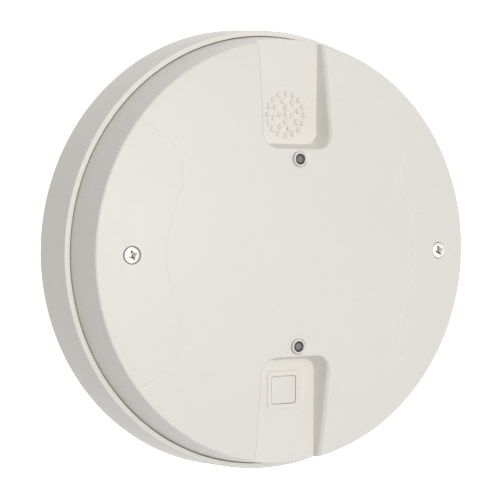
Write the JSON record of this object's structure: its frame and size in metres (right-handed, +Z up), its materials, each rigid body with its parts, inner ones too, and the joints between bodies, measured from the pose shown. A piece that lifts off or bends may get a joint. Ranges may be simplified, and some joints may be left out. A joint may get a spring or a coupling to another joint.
{
  "type": "alarm siren",
  "caption": "Round wall-mounted battery alarm siren: white tray base, lift-off domed cover with upper and lower channels, sound window, indicator lenses and cover screws.",
  "frame": {"origin": "centre of the flat back face, which rests on the wall", "axes": "+Y into the wall, -Y out of the siren's face, +Z up, +X to the viewer's right"},
  "size_m": [0.194, 0.0502, 0.194],
  "materials": {
    "white_plastic": "fine satin moulded white",
    "rubber": "matte black rubber",
    "foam": "closed-cell grey foam",
    "circuit_board": "green solder mask",
    "bright_steel": "plated steel",
    "brass": "satin brass",
    "black_plastic": "matte black",
    "capacitor_sleeve": "dark blue sleeve",
    "terminal_plastic": "green moulding",
    "led_resin": "tinted clear resin",
    "red_lead": "red insulation",
    "black_lead": "black insulation",
    "cell_wrap": "plain blue wrap",
    "membrane": "white woven membrane",
    "lens_plastic": "dark smoked lens"
  },
  "bodies": {
    "base": {"rear_base": "white_plastic", "cover_gasket": "rubber", "cable_grommet": "rubber", "main_board": "circuit_board", "board_screw_1": "bright_steel", "board_screw_2": "bright_steel", "board_screw_3": "bright_steel", "board_screw_4": "bright_steel", "controller_chip": "black_plastic", "radio_module": "bright_steel", "radio_antenna": "brass", "reservoir_capacitor": "capacitor_sleeve", "filter_capacitor": "capacitor_sleeve", "boost_transformer": "black_plastic", "terminal_block": "terminal_plastic", "indicator_led_upper": "led_resin", "indicator_led_lower": "led_resin", "learn_button_case": "black_plastic", "tamper_switch_case": "black_plastic", "tamper_spring": "bright_steel", "sounder_case": "black_plastic", "piezo_disc": "brass", "sounder_seal": "foam", "sounder_lead_red": "red_lead", "sounder_lead_black": "black_lead", "battery_holder_left": "black_plastic", "battery_holder_right": "black_plastic", "contact_strip_left_upper": "bright_steel", "contact_strip_left_lower": "bright_steel", "contact_strip_right_upper": "bright_steel", "contact_strip_right_lower": "bright_steel", "battery_lead_left_red": "red_lead", "battery_lead_left_black": "black_lead", "battery_lead_right_red": "red_lead", "battery_lead_right_black": "black_lead", "battery_left_inner": "cell_wrap", "battery_left_outer": "cell_wrap", "battery_right_inner": "cell_wrap", "battery_right_outer": "cell_wrap"},
    "cover": {"front_cover": "white_plastic", "window_membrane": "membrane", "badge_plate": "white_plastic", "lens_upper": "lens_plastic", "lens_lower": "lens_plastic", "screw_seal_left": "rubber", "screw_seal_right": "rubber"},
    "cover_screw_left": {"cover_screw_left": "bright_steel"},
    "cover_screw_right": {"cover_screw_right": "bright_steel"},
    "tamper_plunger": {"tamper_plunger": "white_plastic"},
    "learn_button": {"learn_button_cap": "white_plastic"}
  },
  "joints": [
    {"name": "cover_lift", "type": "slide", "parent": "base", "child": "cover", "axis": [0, -1, 0], "range_m": [0, 0.06]},
    {"name": "screw_left_turn", "type": "hinge", "parent": "cover", "child": "cover_screw_left", "pos_m": [-0.0748, -0.043, 0], "axis": [0, -1, 0], "continuous": true},
    {"name": "screw_right_turn", "type": "hinge", "parent": "cover", "child": "cover_screw_right", "pos_m": [0.0748, -0.043, 0], "axis": [0, -1, 0], "continuous": true},
    {"name": "tamper_press", "type": "slide", "parent": "base", "child": "tamper_plunger", "axis": [0, 1, 0], "range_m": [0, 0.0015], "stiffness_N_per_m": 300, "springref_m": -0.0005, "deforming": ["tamper_spring"]},
    {"name": "learn_press", "type": "slide", "parent": "base", "child": "learn_button", "axis": [0, 1, 0], "range_m": [0, 0.0005], "stiffness_N_per_m": 1500, "springref_m": -0.0002}
  ]
}
